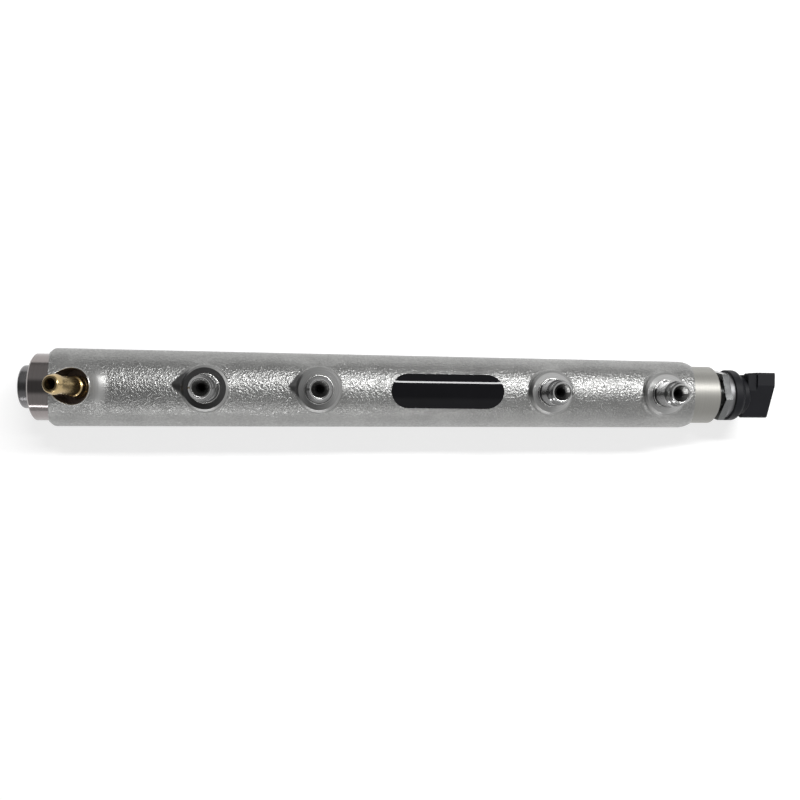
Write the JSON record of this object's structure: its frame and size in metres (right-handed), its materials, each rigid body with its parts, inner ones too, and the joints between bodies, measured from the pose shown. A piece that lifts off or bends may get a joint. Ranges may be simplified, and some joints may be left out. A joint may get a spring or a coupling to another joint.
{
  "type": "fuel rail",
  "caption": "Forged steel high-pressure fuel rail with threaded outlet stubs, a relief valve and return nipple at one end and a pressure sensor with a black plug at the other.",
  "frame": {"origin": "midway between the two tapped mounting holes, in the plane of their pads", "axes": "+X along the rail to the pressure sensor, +Z the way the outlet stubs point, away from the pads"},
  "size_m": [0.4192, 0.0418, 0.0638],
  "materials": {
    "forged_steel": "blasted forging, turned at the necks and stubs",
    "label_film": "gloss black film, bare",
    "brass": "turned",
    "dark_steel": "turned, dark",
    "hard_steel": "ground",
    "spring_steel": "drawn flat wire",
    "rubber": "moulded",
    "hex_steel": "turned and milled",
    "inner_plastic": "moulded",
    "board": "glass-fibre board",
    "black_plastic": "moulded, fine grain",
    "tinned_brass": "tinned"
  },
  "bodies": {
    "rail": {"rail_body": "forged_steel", "type_label": "label_film", "return_nipple": "brass", "valve_body": "dark_steel", "valve_seat": "hard_steel", "valve_spring": "spring_steel", "lift_stop": "hard_steel", "valve_shim": "hard_steel", "valve_o_ring": "rubber", "sensor_body": "hex_steel", "measuring_cell": "hard_steel", "board_carrier": "inner_plastic", "circuit_board": "board", "sensor_seal": "rubber", "connector_housing": "black_plastic", "terminal_supply": "tinned_brass", "terminal_signal": "tinned_brass", "terminal_ground": "tinned_brass"},
    "piston": {"valve_piston": "hard_steel"}
  },
  "joints": [
    {"name": "valve_lift", "type": "slide", "parent": "rail", "child": "piston", "axis": [-1, 0, 0], "range_m": [0, 0.0012], "stiffness_N_per_m": 500, "springref_m": -0.004, "deforming": ["valve_spring"]}
  ]
}
